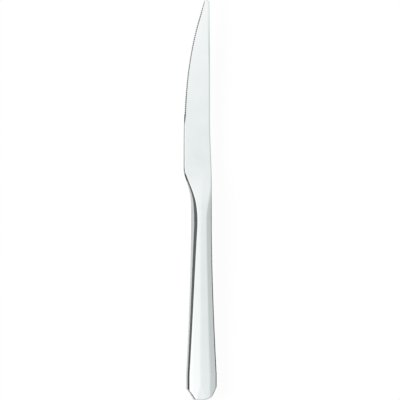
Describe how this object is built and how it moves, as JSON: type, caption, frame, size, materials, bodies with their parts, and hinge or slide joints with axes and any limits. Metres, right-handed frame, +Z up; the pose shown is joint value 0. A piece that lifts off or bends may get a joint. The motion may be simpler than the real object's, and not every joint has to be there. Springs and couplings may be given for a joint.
{
  "type": "dessert knife",
  "caption": "Polished steel dessert knife with a fine serrated, pointed blade, a forged bolster and a hollow faceted handle that widens to a cornered butt.",
  "frame": {"origin": "on the table, under the middle of the knife's length and width, with the knife lying on the ridge of its back", "axes": "+Y along the knife towards the tip, +X towards the spine, +Z up out of the front face"},
  "size_m": [0.0176, 0.2152, 0.0091],
  "materials": {
    "polished_blade_steel": "polished",
    "polished_handle_steel": "polished",
    "silver_solder": "polished",
    "handle_cement": "matte"
  },
  "bodies": {
    "root": {"blade": "polished_blade_steel", "handle_front_shell": "polished_handle_steel", "handle_back_shell": "polished_handle_steel", "seam_solder": "silver_solder", "neck_solder_ring": "silver_solder", "handle_filler": "handle_cement"}
  },
  "joints": []
}
